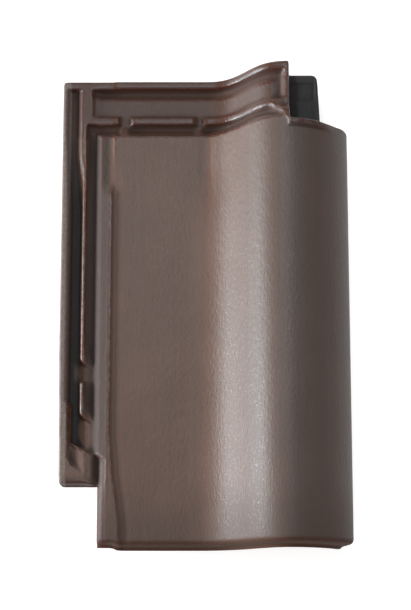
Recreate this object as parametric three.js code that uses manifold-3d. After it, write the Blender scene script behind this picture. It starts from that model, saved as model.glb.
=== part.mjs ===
// Clay roof tile of the interlocking S kind: a flat pan, a roll on its right, a water lock down its left
// side and a double head lock across its top. One pressed and fired piece of clay.
//
// Millimetres. X runs across the tile from the water lock to the roll's edge, Y up the roof from the foot
// to the head, and Z out of the weather face. Inside this file heights are measured from the pan's face;
// the finished mesh is then placed with its middle over the origin and its nibs and foot rib on Z = 0.
import * as THREE from 'three';
import { mergeVertices } from 'three/addons/utils/BufferGeometryUtils.js';
import Module from 'manifold-3d';

// ---- Overall sizes ----
const tileWidth = 285;
const tileLength = 474;
const clayThickness = 12;
const standHeight = 27; // from the plane that the tile lies on up to the pan's face
const sink = 3; // how far one solid runs into the next before they are joined
const overlap = 0.5; // how far one cutter runs into the next
const clear = 30; // how far a cutter stands out of the clay
const past = 1; // how far a cutter's end runs past the tile's edge
const stationClear = 4; // least distance between a loft's end and its inner stations
const fromHead = (distance) => tileLength - distance;

// ---- Roll: the S that rises from the pan, and the flank that falls to the right edge ----
const rollWidth = 148; // from the foot of the S to the right edge
const flankWidth = 63; // from the crest to the right edge
const rollHeight = 57;
const rollEase = 0.453; // share of the S that each end spends turning
const rollSteps = 21; // odd, so that the S has no three points in one line at its middle
const flankCrown = 30; // how far the crown runs on before the flank falls
const flankPlumb = 22; // how much of the flank's foot is close to upright
const flankSteps = 14;
const edgeHeight = 1.4;
const edgeRound = 2;
const rollStart = tileWidth - rollWidth;
const rollCrest = tileWidth - flankWidth;

// ---- Head lock: a rim, a deep channel, a flat band, a second rib and a second channel ----
const headDrop = 3; // rim and rib tops lie this far under the pan's face
const crestDrop = 10; // and this far under the roll's crest
const headLand = 4; // the lock runs this far past the crest
const headRollDelay = 9; // its S starts this much later than the body's
const headThickness = 15;
const rimWidth = 7.4;
const rimRound = 2;
const channelDepth = 7.5;
const channelWall = 2.4; // plan length of the wall under the rim
const channelFloor = 3.6;
const channelSlope = 5.5; // plan length of the slope up to the band
const bandDepth = 4;
const bandWidth = 17.7;
const ribWall = 2.3;
const ribWidth = 6.4;
const secondDepth = 6;
const secondWall = 2.3;
const secondFloor = 4.4;
const bodyLean = 15; // the body's head end leans forward by this much down to the lock's underside
const headWidth = rollCrest + headLand;
const headCrest = rollHeight - crestDrop;
const floorStart = rimWidth + channelWall;
const floorEnd = floorStart + channelFloor;
const bandStart = floorEnd + channelSlope;
const bandEnd = bandStart + bandWidth;
const ribStart = bandEnd + ribWall;
const ribEnd = ribStart + ribWidth;
const secondStart = ribEnd + secondWall;
const headLength = secondStart + secondFloor + bodyLean / 2;
const neckLength = 18; // the body thins out from the lock's thickness over this length

// Ends and gaps of the head lock
const recessLeft = 29;
const recessDraft = 3;
const recessToe = 8; // the floor rises towards the left wall over this length
const recessToeShare = 0.75;
const bandSetback = 19; // the band stops this far short of the lock's right end
const endRib = 7.5;
const endRibDraft = 2.6;
const pocketDraft = 1;
const pocketLevel = 2; // the pocket is at its full depth this far short of the end rib
const leftGap = [54.4, 72.2];
const rightGap = [rollStart - 5.8, rollStart + 8.4];
const gapDraft = 3.4;
const gapTop = 1;
const gapFloor = -headDrop - bandDepth;

// ---- Water lock: outer rib, channel A, inner ribs, channel B and shelf ----
const coverDrop = 1; // what the next tile covers lies this much deeper
const coverStep = 50.5;
const coverStepRun = 3;
const lockEnd = 61.5; // the lock stops this far above the foot
const lockDepth = 21; // underside of the lock under the pan's face
const lockUnderWidth = 33;
const lockUnderRound = 1.5;
const lockTaper = 1.6; // the left edge comes in by this much towards the foot
const lockTaperLength = 122;
const outerRibHead = 4.6;
const outerRibWidth = 6.4;
const outerRibWide = 9.6;
const outerRibHeadEnd = 62;
const outerRibWidens = 40; // this far short of the end block
const outerRibBlend = 4;
const deepWall = 3.9; // plan length of the channel's left wall
const shallowWall = 1.6;
const shallowDepth = 6;
const shallowRight = 12.9;
const deepDepth = 9.6;
const deepCorner = 1.2;
const shallowEnd = 78;
const deepStart = 136;
const innerRibLeft = 20.3;
const innerRibWidth = 4.5;
const innerRibDraft = 1.2;
const sillDepth = 7; // floor between the channels where the inner rib is open
const secondChannelFloor = 4.7;
const secondChannelWall = 3.2;
const secondChannelDepth = 4.2;
const shelfKnee = 8.3; // plan length of the slope out of channel B
const shelfKneeHeight = -3.9;
const shelfRun = 6.8;
const shelfHead = -1.6;
const shelfFoot = 1.2;
const shelfRiseStart = 107;
const shelfRiseEnd = 120;
const stepWidth = 5;
const stepInset = 1.7;
const innerRibStart = 20;
const ribGap = 17; // between the long rib and the short one
const shortRibLength = 36;
const ribToBlock = 25;
const ribFlare = 24; // length over which the rib's foot spreads
const ribSpread = 11;
const obliqueSlope = 0.59;
const lockTop = -headDrop - coverDrop;
const innerRibRight = innerRibLeft + innerRibWidth;
const ribMiddle = innerRibLeft + innerRibWidth / 2;
const secondFloorLeft = innerRibRight + secondChannelWall;
const secondFloorRight = secondFloorLeft + secondChannelFloor;
const kneeAt = secondFloorRight + shelfKnee;
const shelfEdge = kneeAt + shelfRun;

// ---- End block that turns the water out of channel A ----
const blockLength = 50.5; // from its head to the lock's end
const blockSlope = 0.535;
const blockLead = 12;
const blockRidge = 26.5;
const blockPocketDepth = 4.2;
const blockPocketFloor = 2.6;
const blockPocketLength = 17;
const blockFall = 1.4; // of its top, towards the wall on its right
const blockWall = 2.8; // plan length of that wall
const runOutDepth = 4.4; // of channel B beside the block
const runOutWidth = 2.9;
const runOutRise = 1.5; // plan length of the slope from there to the shelf's knee
const runOutShare = 0.5; // of its depth, once it has passed the lock's end
const runOutLead = 6;
const runOutLength = 12;
const blockBank = 3;
const lockCorner = 6;
const notchCornerRun = 2; // the corner between the lock's end and the side of the foot
const notchCornerDip = 0.8;
const notchCornerFall = 3;
const lockNoseTurn = 14; // to the right of this the rounding shortens
const lockNoseShare = 0.45;
const blockStart = fromHead(lockEnd) - blockLength;
const runOutRight = kneeAt - runOutRise;
const blockFoot = runOutRight - runOutWidth;
const blockRight = blockFoot - blockWall;
const shortRibEnd = blockStart - ribToBlock;
const shortRibStart = shortRibEnd - shortRibLength;
const innerRibEnd = shortRibStart - ribGap;
const lockNoseProfile = [ // [distance back from the lock's end, height]: what the rounded end cuts away
  [-3, 4], [12, 4], [11, lockTop], [7.5, -4.6], [4.2, -6.2], [1.8, -9], [0.6, -13], [-3, -13]];

// ---- Foot nose ----
const noseDepth = 17;
const noseProfile = [ // [distance from the foot, how far the face is sunk]: a roll over a small toe
  [0, 13], [0.5, 12], [2, 11.3], [3.1, 9.5], [3.9, 6], [4.8, 3.1], [6, 1.35], [7.6, 0.35], [9.4, 0]];
const footLeft = 38.9;
const noseSetback = 2.6;
const noseSetbackEnd = 50;
const noseSetbackRun = 12;
const footCorner = 3;

// ---- Notch at the top right, with its tab and the walls round it ----
const shoulderDistance = 62; // from the head edge to the shoulder
const tabWidth = 29.6; // past the lock's right end
const tabFlare = 2.9;
const tabTop = 11;
const tabRimHeight = 1.6;
const tabRimWidth = 9;
const tabSideRim = 5;
const tabSideLean = 1;
const tabStepDistance = 27;
const tabStepRun = 1.5;
const tabStepRise = 3.6;
const tabStepInset = 2;
const tabCorner = 8;
const rimCorner = 5;
const wallThickness = 11;
const shoulderRibWidth = 6.5;
const shoulderRibHeight = 2.6;
const shoulderRibSlope = 3;
const shoulderRibRound = 1;
const shoulderRibSink = 0.4; // its foot goes this far into the face
const shoulderRibLength = 46; // past the lock's right end
const shoulderRibFade = 20; // length over which its right end runs out
const bankReach = 23; // the bank at the crest starts this far left of the lock's end
const bankNear = [6, 15]; // pulls of its curve: [past the second rib, left of the lock's end]
const bankFar = [13, 9];
const bankTip = 5.5;
const bankLean = 4.9;
const bankSteps = 7;

// ---- Underside: hanging nibs, foot ribs and the rib of the cover lock ----
const leftNib = [50, 84];
const rightNib = [3, 45].map((x) => rollStart + x);
const nibHead = 44;
const nibLength = 16;
const nibLean = 6;
const footRibDraft = 0.8;
const frontRibStart = 9;
const frontRibWidth = 5.5;
const frontRibDepth = 24.5;
const standRibStart = 43;
const standRibWidth = 7;
const footRibs = [
  [frontRibStart, frontRibWidth, frontRibDepth], [standRibStart, standRibWidth, standHeight]];
const footRibLeft = 45;
const coverRibSetback = 22;
const coverRibWidth = 6;
const coverRibBottom = -5.5;
const coverRibStart = 30;

const point = (x, z) => new THREE.Vector2(x, z);

// The curves of the roll, and the head lock's own shallower S.
function sCurve(start, end, low, high, ease) {
  const reach = (end - start) * ease;
  return new THREE.CubicBezierCurve(
    point(start, low), point(start + reach, low), point(end - reach, high), point(end, high));
}
const edgeTop = edgeHeight + edgeRound;
const bodyRise = sCurve(rollStart, rollCrest, 0, rollHeight, rollEase);
const bodyFlank = new THREE.CubicBezierCurve(
  point(rollCrest, rollHeight), point(rollCrest + flankCrown, rollHeight),
  point(tileWidth, edgeTop + flankPlumb), point(tileWidth, edgeTop));
const headRise = sCurve(rollStart + headRollDelay, rollCrest, -headDrop, headCrest, 0.5);

// A curve moved square to itself, for the underside and for the sunk face of the nose.
function offsetPoints(curve, steps, distance) {
  return curve.getPoints(steps).map((p, i) => {
    const along = curve.getTangent(i / steps);
    return point(p.x + along.y * distance, p.y - along.x * distance);
  });
}

// Height of a polyline at x; it is flat past both ends.
function heightAt(line, x) {
  if (x <= line[0].x) {
    return line[0].y;
  }
  for (let i = 1; i < line.length; i += 1) {
    if (x <= line[i].x) {
      const share = (x - line[i - 1].x) / (line[i].x - line[i - 1].x);
      return line[i - 1].y + share * (line[i].y - line[i - 1].y);
    }
  }
  return line[line.length - 1].y;
}
const bodyLine = [...bodyRise.getPoints(rollSteps), ...bodyFlank.getPoints(flankSteps).slice(1)];
const headLine = headRise.getPoints(rollSteps);
const bodyHeight = (x) => heightAt(bodyLine, x);
const headHeight = (x) => heightAt(headLine, x);
const stationsBetween = (line, x0, x1) => [
  x0, ...line.map((p) => p.x).filter((x) => x > x0 + past && x < x1 - past), x1];

// ---- Making and joining solids ----
const wasm = await Module();
wasm.setup();

function solid(geometry) {
  geometry.deleteAttribute('normal');
  geometry.deleteAttribute('uv');
  const merged = mergeVertices(geometry, 1e-4);
  return new wasm.Manifold(new wasm.Mesh({
    numProp: 3,
    vertProperties: new Float32Array(merged.attributes.position.array),
    triVerts: new Uint32Array(merged.index.array),
  }));
}

// A loft through closed rings of equal length. Each ring is flat seen along the sweep, which is 'x' or 'y'.
function loft(rings, sweep) {
  const flat = (p) => (sweep === 'y' ? point(p.x, p.z) : point(p.y, p.z));
  const size = rings[0].length;
  const last = rings.length - 1;
  const turnsLeft = THREE.ShapeUtils.area(rings[0].map(flat)) > 0;
  const goesUp = rings[last][0][sweep] > rings[0][0][sweep];
  const outward = (turnsLeft === goesUp) === (sweep === 'x');
  const faces = [];
  const add = (a, b, c) => faces.push(a, outward ? b : c, outward ? c : b);
  for (let r = 0; r < last; r += 1) {
    for (let i = 0; i < size; i += 1) {
      const a = r * size + i;
      const b = r * size + ((i + 1) % size);
      add(a, b, b + size);
      add(a, b + size, a + size);
    }
  }
  [0, last].forEach((r) => {
    const ring = rings[r].map(flat);
    THREE.ShapeUtils.triangulateShape(ring, []).forEach(([a, b, c]) => {
      const along = (THREE.ShapeUtils.area([ring[a], ring[b], ring[c]]) > 0) === turnsLeft;
      const [second, third] = along === (r === last) ? [b, c] : [c, b];
      add(r * size + a, r * size + second, r * size + third);
    });
  });
  const geometry = new THREE.BufferGeometry();
  const vertices = rings.flat().flatMap((p) => [p.x, p.y, p.z]);
  geometry.setAttribute('position', new THREE.Float32BufferAttribute(vertices, 3));
  geometry.setIndex(faces);
  return solid(geometry);
}

// A section given as [x, z] pairs, carried straight from y0 to y1.
function along(section, y0, y1) {
  return loft([y0, y1].map((y) => section.map(([x, z]) => new THREE.Vector3(x, y, z))), 'y');
}

// A section given as [distance from the head, height] pairs, carried across the tile on the lock's S.
// Each station is [x, draft, share]: what lies below the rib tops is drawn in by the draft, and only that
// share of its depth is cut.
function across(section, stations) {
  const [from, to] = [stations[0][0], stations[stations.length - 1][0]];
  const between = headLine.map((p) => p.x).filter((x) => x > from + stationClear && x < to - stationClear);
  const all = [...stations, ...between.map((x) => [x, 0, 1])].sort((a, b) => a[0] - b[0]);
  return loft(all.map(([x, draft, share]) => section.map(([d, z]) => new THREE.Vector3(
    x + (z < 0 ? draft : 0), fromHead(d), headHeight(x) + (z < 0 ? z * share : z)))), 'x');
}

// A plan outline carried straight up.
function upright(shape, z0, z1) {
  const geometry = new THREE.ExtrudeGeometry(
    shape, { depth: z1 - z0, bevelEnabled: false, curveSegments: 6 });
  geometry.translate(0, 0, z0);
  return solid(geometry);
}

const sum = (first, ...others) => others.reduce((whole, part) => whole.add(part), first);
const low = -standHeight - sink;
const high = rollHeight + clear;

// ---- Body: pan, step to the shelf, roll and right edge, with the rounded nose at the foot ----
// The step between shelf and pan drifts to the right over the last of its length.
const stepDrift = [[0, 10], [25, 10], [51, 6.5], [71, 3.5], [112, 0]].map(([y, s]) => point(y, s));
const shelfLine = [point(fromHead(shelfRiseEnd), shelfFoot), point(fromHead(shelfRiseStart), shelfHead)];
const rollUnder = offsetPoints(bodyRise, rollSteps, clayThickness);
const flankUnder = offsetPoints(bodyFlank, flankSteps, clayThickness).slice(1);
const headUnder = offsetPoints(headRise, rollSteps, headThickness);

// One section of the body. The face can be sunk square to itself, as it is down the nose.
function bodyRing(y, { sunk = 0, thickness = clayThickness, riseUnder = null }) {
  const shelf = heightAt(shelfLine, y);
  const stepStart = shelfEdge + stepInset + heightAt(stepDrift, y);
  const leftUnder = riseUnder === headUnder ? headThickness + headDrop : thickness;
  const round = Math.min(edgeRound, (thickness - sunk) / 3);
  const face = [
    point(secondFloorLeft, shelf - sunk), point(stepStart, shelf - sunk),
    point(stepStart + stepWidth, -sunk), ...offsetPoints(bodyRise, rollSteps, sunk),
    ...offsetPoints(bodyFlank, flankSteps, sunk).slice(1),
    point(tileWidth - sunk - round, edgeHeight), point(tileWidth - thickness + round, edgeHeight),
  ];
  const flank = thickness === clayThickness
    ? flankUnder : offsetPoints(bodyFlank, flankSteps, thickness).slice(1);
  const rise = riseUnder || offsetPoints(bodyRise, rollSteps, thickness);
  const under = [
    ...[...rise, ...flank].reverse(), point(shelfEdge, -leftUnder), point(secondFloorLeft, -lockDepth + sink)];
  return [...face, ...under].map((p) => new THREE.Vector3(p.x, y, p.y));
}

// The body's head end leans forward, from its face down to the underside of the lock.
const leanCut = loft(stationsBetween(bodyLine, secondFloorLeft - past, headWidth + past).map((x) => {
  const rise = (bodyHeight(x) - headHeight(x) + headThickness) / bodyLean * sink;
  const [back, front] = [headLength + sink, headLength - bodyLean - sink];
  const foot = headHeight(x) - headThickness - rise;
  return [[back, bodyHeight(x) + rise], [front, foot], [front, high], [back, high]].map(
    ([d, z]) => new THREE.Vector3(x, fromHead(d), z));
}), 'x');

const notchBlock = along([
  [headWidth, low], [tileWidth + sink, low], [tileWidth + sink, high], [headWidth, high],
], fromHead(shoulderDistance), tileLength + sink);
const noseEnd = noseProfile[noseProfile.length - 1][0];
const body = loft([
  ...noseProfile.map(([y, sunk]) => bodyRing(y, { sunk, thickness: noseDepth })),
  bodyRing(noseEnd + clayThickness / 2, {}),
  ...stepDrift.slice(1).map((p) => bodyRing(p.x, {})),
  bodyRing(fromHead(shelfRiseEnd), {}),
  bodyRing(fromHead(shelfRiseStart), {}),
  bodyRing(fromHead(headLength + neckLength), { riseUnder: rollUnder }),
  bodyRing(fromHead(headLength - bodyLean), { riseUnder: headUnder }),
], 'y').subtract(sum(notchBlock, leanCut));

// ---- Head block and the block of the water lock, with the lowered part that the next tile covers ----
const lockUnder = [
  [lockUnderWidth, -lockDepth], [lockUnderRound, -lockDepth], [0, -lockDepth + lockUnderRound]];

function headRing(distance, drop) {
  const top = [[edgeRound, -headDrop], ...headLine.map((p) => [p.x, p.y]), [headWidth, headCrest]];
  return [
    [0, -headDrop - edgeRound - drop],
    ...top.map(([x, z]) => [x, z - drop]),
    [headWidth, headCrest - headThickness], ...[...headUnder].reverse().map((p) => [p.x, p.y]),
    [shelfEdge, -headThickness - headDrop], ...lockUnder,
  ].map(([x, z]) => new THREE.Vector3(x, fromHead(distance), z));
}
const headBlock = loft([
  headRing(headLength + sink, 0), headRing(rimRound, 0), headRing(rimRound * 0.3, rimRound * 0.3),
  headRing(0, rimRound),
], 'y');

const lockBlock = along([
  [0, -headDrop - edgeRound], [edgeRound, -headDrop], [kneeAt, -headDrop], [shelfEdge, -clayThickness],
  ...lockUnder,
], 0, fromHead(headLength));

const coverCut = along([
  [-past, high], [-past, lockTop - edgeRound], [0, lockTop - edgeRound], [edgeRound, lockTop],
  [coverStep, lockTop], [coverStep + coverStepRun, -headDrop], [coverStep + coverStepRun, high],
], -past, tileLength + past);

// ---- Corner notch: tab, wall under the end of the crest, wall under the shoulder ----
const tabUnder = tabTop - clayThickness;
const tabRight = headWidth + tabWidth;
const tabBlockRight = tabRight + tabFlare + sink;
const shoulderBack = fromHead(shoulderDistance + wallThickness);

// A plate of the tab between two heights, from x0 to past the tab's edge.
const tabPlate = (x0, z0, z1, y0, y1, lean = 0) => along([
  [x0, z0], [tabBlockRight, z0], [tabBlockRight, z1], [x0 + lean, z1]], y0, y1);
const tabStep = loft([
  [tabStepDistance, 0], [tabStepDistance + tabStepRun, tabRimHeight], [shoulderDistance + sink, tabStepRise],
].map(([d, rise]) => [
  [headWidth - sink, tabTop - overlap], [tabRight - tabStepInset, tabTop - overlap],
  [tabRight - tabStepInset, tabTop + rise],
  [headWidth - sink, tabTop + rise],
].map(([x, z]) => new THREE.Vector3(x, fromHead(d), z))), 'y');
const tabSolids = [
  tabPlate(headWidth - wallThickness, tabUnder, tabTop, shoulderBack, tileLength),
  tabPlate(headWidth - sink, tabTop - overlap, tabTop + tabRimHeight, fromHead(tabRimWidth), tileLength),
  tabPlate(
    tabRight - tabSideRim, tabTop - overlap, tabTop + tabRimHeight, fromHead(shoulderDistance + sink),
    tileLength, tabSideLean),
  tabStep,
];

// It stays under the floor of the head channel, and rises behind the second rib.
const underPocket = headCrest - channelDepth - past;
const crestWall = loft([
  [0, underPocket], [ribStart, underPocket], [ribEnd, headCrest - rimRound],
  [shoulderDistance + wallThickness, headCrest - rimRound],
].map(([d, top]) => [
  [headWidth - wallThickness, tabUnder], [headWidth, tabUnder], [headWidth, top], [headWidth - wallThickness, top],
].map(([x, z]) => new THREE.Vector3(x, fromHead(d), z))), 'y');
const wallTop = [
  point(headWidth - wallThickness, rollHeight - clayThickness / 2),
  ...offsetPoints(bodyFlank, flankSteps, clayThickness / 2).filter((p) => p.x > headWidth)];
const shoulderWall = along([
  [wallTop[0].x, tabUnder], [wallTop[wallTop.length - 1].x, tabUnder],
  ...[...wallTop].reverse().map((p) => [p.x, p.y]),
], shoulderBack, fromHead(shoulderDistance));

// The raised rib along the shoulder runs out on the flank.
const shoulderRibRight = headWidth + shoulderRibLength;
const ribFoot = shoulderDistance + shoulderRibWidth + shoulderRibSlope;
const shoulderRib = loft(stationsBetween(bodyLine, headWidth - sink, shoulderRibRight).map((x) => {
  const rise = shoulderRibHeight * Math.min(1, (shoulderRibRight - x) / shoulderRibFade);
  return [
    [shoulderDistance, -clayThickness / 2], [shoulderDistance, rise - shoulderRibRound],
    [shoulderDistance + shoulderRibRound, rise], [shoulderDistance + shoulderRibWidth, rise],
    [ribFoot, -shoulderRibSink], [ribFoot, -clayThickness / 2],
  ].map(([d, z]) => new THREE.Vector3(x, fromHead(d), bodyHeight(x) + z));
}), 'x');

// The plateau at the crest carries the second rib up to the shoulder rib. Its left side is a curved bank.
const plateauTop = [
  point(ribStart, headCrest), point(ribEnd, headCrest),
  point(shoulderDistance, rollHeight + shoulderRibHeight),
  point(shoulderDistance + shoulderRibWidth, rollHeight + shoulderRibHeight), 
  point(ribFoot, rollHeight - shoulderRibSink)];
const plateauBank = new THREE.CubicBezierCurve(
  point(ribEnd - sink, headWidth - bankReach),
  point(ribEnd + bankNear[0], headWidth - bankNear[1]), point(ribEnd + bankFar[0], headWidth - bankFar[1]),
  point(ribFoot, headWidth - bankTip)).getPoints(bankSteps);
const plateauStations = [...plateauBank.map((p) => p.x), ...plateauTop.slice(2, 4).map((p) => p.x)];
const plateau = loft(plateauStations.sort((a, b) => a - b).map((d) => {
  const left = heightAt(plateauBank, d);
  const top = heightAt(plateauTop, d);
  const base = headHeight(left) - secondDepth;
  return [
    [left, base - sink], [left, base], [left + bankLean, top], [headWidth, top], [headWidth, base - sink],
  ].map(([x, z]) => new THREE.Vector3(x, fromHead(d), z));
}), 'y');

// ---- Underside ----
const nibFoot = nibHead + nibLength;
const nibSolids = [leftNib, rightNib].map(([x0, x1]) => loft(stationsBetween(headLine, x0, x1).map((x) => [
  [nibHead - nibLean, headHeight(x) - headThickness / 2], [nibHead - nibLean, overlap - headThickness],
  [nibHead, -standHeight], [nibFoot, -standHeight], [nibFoot, headHeight(x) - headThickness / 2],
].map(([d, z]) => new THREE.Vector3(x, fromHead(d), z))), 'x'));

// The foot ribs keep to the S of the lock that they stand in, one tile further down the roof.
const ribStations = stationsBetween(bodyLine, footRibLeft, rollCrest);
const footRibSolids = footRibs.map(([from, width, depth]) => loft(ribStations.map((x) => {
  const root = bodyHeight(x) - clayThickness / 2;
  const bottom = headHeight(x) + headDrop - depth;
  return [
    [from, root], [from + footRibDraft, bottom], [from + width - footRibDraft, bottom], [from + width, root],
  ].map(([y, z]) => new THREE.Vector3(x, y, z));
}), 'x'));
const coverLeft = tileWidth - coverRibSetback;
const coverRight = coverLeft + coverRibWidth;
const coverRib = along([
  [coverLeft, bodyHeight(coverLeft) - clayThickness + sink], [coverLeft + footRibDraft, coverRibBottom],
  [coverRight - footRibDraft, coverRibBottom], [coverRight, bodyHeight(coverRight) - clayThickness + sink],
], coverRibStart, shoulderBack + overlap);

// ---- Cuts in the head lock ----
const recessStations = [
  [recessLeft, recessDraft, recessToeShare], [recessLeft + recessToe, 0, 1]];
const pocketRight = headWidth - endRib;
const pocketStation = [pocketRight + endRibDraft, -endRibDraft, 1];
const channelCut = across([
  [rimWidth, clear], [rimWidth, 0], [floorStart, -channelDepth], [floorEnd, -channelDepth],
  [bandStart, -bandDepth], [bandStart, clear],
], [...recessStations, pocketStation]);
const bandCut = across([
  [bandStart - overlap, clear], [bandStart - overlap, -bandDepth], [bandEnd, -bandDepth], [ribStart, 0],
  [ribStart, clear],
], [...recessStations, [headWidth - bandSetback, 0, 1]]);
const pocketCut = across([
  [floorEnd - overlap, clear], [floorEnd - overlap, -channelDepth], [bandEnd - pocketDraft, -channelDepth],
  [bandEnd + pocketDraft, 0], [bandEnd + pocketDraft, clear],
], [
  [headWidth - bandSetback, 0, bandDepth / channelDepth], [pocketRight - pocketLevel, 0, 1], pocketStation]);
const secondCut = across([
  [ribEnd, clear], [ribEnd, 0], [secondStart, -secondDepth], [headLength + clear, -secondDepth],
  [headLength + clear, clear],
], [[innerRibRight, 0, 1], [headWidth + past, 0, 1]]);
const gaps = [leftGap, rightGap];
const gapCuts = gaps.map(([x0, x1]) => along([
  [x0 + gapDraft, gapFloor], [x1 - gapDraft, gapFloor], [x1 + gapDraft, gapTop], [x0 - gapDraft, gapTop],
], fromHead(secondStart), fromHead(bandEnd - overlap)));
// Each gap's floor rises as a ramp through the second channel up to the body's face.
const gapRamps = gaps.map(([x0, x1]) => loft([x0 + gapDraft, x1 - gapDraft].map((x) => [
  [ribEnd, gapFloor], [secondStart, gapFloor], [headLength, 0], [headLength, -clayThickness],
  [ribEnd, -clayThickness],
].map(([d, z]) => new THREE.Vector3(x, fromHead(d), z))), 'x'));

// ---- Cuts in the water lock; every ring is made of [x, z, extra distance from the head] ----
const lockRing = (distance, points) => points.map(
  ([x, z, more = 0]) => new THREE.Vector3(x, fromHead(distance + more), z));
const slanted = (points, slope) => points.map(([x, z]) => [x, z, slope * x]);
const ribSeat = innerRibLeft - innerRibDraft;
const sill = lockTop - sillDepth;
const shallowFloor = lockTop - shallowDepth;
const deepFloor = lockTop - deepDepth;
const shallowRing = (distance, wall, lead) => lockRing(distance, [
  [wall, high], [wall, lockTop], [wall + shallowWall, shallowFloor, lead],
  [shallowRight, shallowFloor, lead], [ribSeat, lockTop], [ribMiddle, lockTop], [ribMiddle, high]]);
const deepRing = (distance, wall, slope = 0) => lockRing(distance, slanted([
  [wall, high], [wall, lockTop], [wall + deepWall, deepFloor], [ribSeat - deepCorner, deepFloor],
  [ribSeat, deepFloor + deepCorner / 2], [ribMiddle, sill], [ribMiddle, high]], slope));
const turnAway = blockStart - blockSlope * blockLead;
const channelA = loft([
  shallowRing(rimWidth + overlap, outerRibHead, shallowWall),
  shallowRing(outerRibHeadEnd, outerRibHead, 0),
  shallowRing(shallowEnd, (outerRibHead + outerRibWidth) / 2, 0),
  deepRing(deepStart, outerRibWidth),
  deepRing(blockStart - outerRibWidens, outerRibWidth),
  deepRing(blockStart - outerRibWidens + outerRibBlend, outerRibWide),
  deepRing(turnAway, outerRibWide, blockSlope),
], 'y');

// Channel B and the shelf beside it.
const secondFloorHeight = lockTop - secondChannelDepth;
const openRing = (distance, slope = 0) => lockRing(distance, slanted([
  [ribMiddle - overlap, high], [ribMiddle - overlap, sill], [secondFloorLeft, secondFloorHeight],
  [secondFloorRight, secondFloorHeight], [kneeAt, shelfKneeHeight],
  [shelfEdge, heightAt(shelfLine, fromHead(distance))], [shelfEdge, high]], slope));
const channelB = loft([
  openRing(ribEnd + overlap), openRing(shelfRiseStart), openRing(shelfRiseEnd), openRing(turnAway, blockSlope),
], 'y');

// Beside the block channel B narrows to a valley that runs out towards the foot.
const valleyRing = (distance, share, slope = 0) => lockRing(distance, slanted([
  [blockRidge, high], [blockRidge, lockTop], [blockRight, lockTop - blockFall],
  [blockFoot, lockTop - runOutDepth * share], [runOutRight, lockTop - runOutDepth * share],
  [kneeAt, shelfKneeHeight * share], [shelfEdge, shelfFoot], [shelfEdge, high]], slope));
const channelFoot = loft([
  valleyRing(turnAway - overlap, 1, blockSlope),
  valleyRing(fromHead(lockEnd + runOutLead), 1),
  valleyRing(fromHead(lockEnd - runOutLength), runOutShare),
  valleyRing(tileLength + past, runOutShare / 2),
], 'y');

const pocketFloorAt = outerRibWide + blockPocketFloor;
const pocketRing = (distance, leads) => lockRing(distance, [
  [outerRibWide, high, leads[0]], [outerRibWide, lockTop, leads[0]],
  [pocketFloorAt, lockTop - blockPocketDepth, leads[1]], [blockRidge, lockTop, leads[2]],
  [blockRidge, high, leads[2]]]);
const pocketTurn = outerRibWide * blockSlope;
const blockPocket = loft([
  pocketRing(blockStart, [pocketTurn - blockBank, pocketTurn - blockBank, blockLead]),
  pocketRing(blockStart + blockPocketLength, [0, blockBank / 2, blockLead]),
], 'y');
const lockNose = loft([[-past, 1], [lockNoseTurn, 1], [footLeft - overlap, lockNoseShare]].map(
  ([x, share]) => lockNoseProfile.map(([back, z]) => new THREE.Vector3(x, lockEnd + back * share, z))), 'x');

// ---- Inner ribs of the water lock; the foot of each spreads to the right and ends on a slant ----
const ribRoot = deepFloor - sink;
const ribToe = secondFloorLeft + ribSpread;
const ribSection = (distance) => lockRing(distance, [
  [ribSeat, ribRoot], [innerRibLeft, lockTop], [innerRibRight, lockTop], [secondFloorLeft, ribRoot]]);
const slantedFoot = (distance) => lockRing(distance, [
  [ribSeat, ribRoot], [innerRibLeft, lockTop], [innerRibRight, lockTop, obliqueSlope * innerRibWidth],
  [ribToe, secondFloorHeight - sink, obliqueSlope * (ribToe - innerRibLeft)]]);
const midway = (ring, other) => ring.map((p, i) => p.clone().lerp(other[i], 0.5));
function innerRib(start, end) {
  const [flare, foot] = [ribSection(end - ribFlare), slantedFoot(end)];
  return loft([ribSection(start), flare, midway(flare, foot), foot], 'y');
}
const innerRibs = [innerRib(innerRibStart, innerRibEnd), innerRib(shortRibStart, shortRibEnd)];

// ---- Plan outline with its two notches and rounded corners ----
const plan = new THREE.Shape();
plan.moveTo(footLeft, noseSetback);
plan.lineTo(noseSetbackEnd, noseSetback);
plan.bezierCurveTo(
  noseSetbackEnd + noseSetbackRun / 2, noseSetback, noseSetbackEnd + noseSetbackRun / 2, 0,
  noseSetbackEnd + noseSetbackRun, -past);
plan.lineTo(tileWidth - footCorner, -past);
plan.lineTo(tileWidth - footCorner, 0);
plan.absarc(tileWidth - footCorner, footCorner, footCorner, -Math.PI / 2, 0);
plan.lineTo(tileWidth + past, footCorner);
plan.lineTo(tileWidth + past, fromHead(shoulderDistance));
plan.lineTo(tabRight + tabFlare, fromHead(shoulderDistance));
plan.lineTo(tabRight, fromHead(tabCorner));
plan.absarc(tabRight - tabCorner, fromHead(tabCorner), tabCorner, 0, Math.PI / 2);
plan.lineTo(rimCorner, tileLength);
plan.absarc(rimCorner, tileLength - rimCorner, rimCorner, Math.PI / 2, Math.PI);
plan.lineTo(0, lockEnd + lockTaperLength);
plan.lineTo(lockTaper, lockEnd + lockCorner);
plan.absarc(lockTaper + lockCorner, lockEnd + lockCorner, lockCorner, Math.PI, Math.PI * 1.5);
plan.lineTo(footLeft - notchCornerRun, lockEnd - notchCornerDip);
plan.lineTo(footLeft, lockEnd - notchCornerFall);
const outline = upright(plan, low, high);

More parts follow.
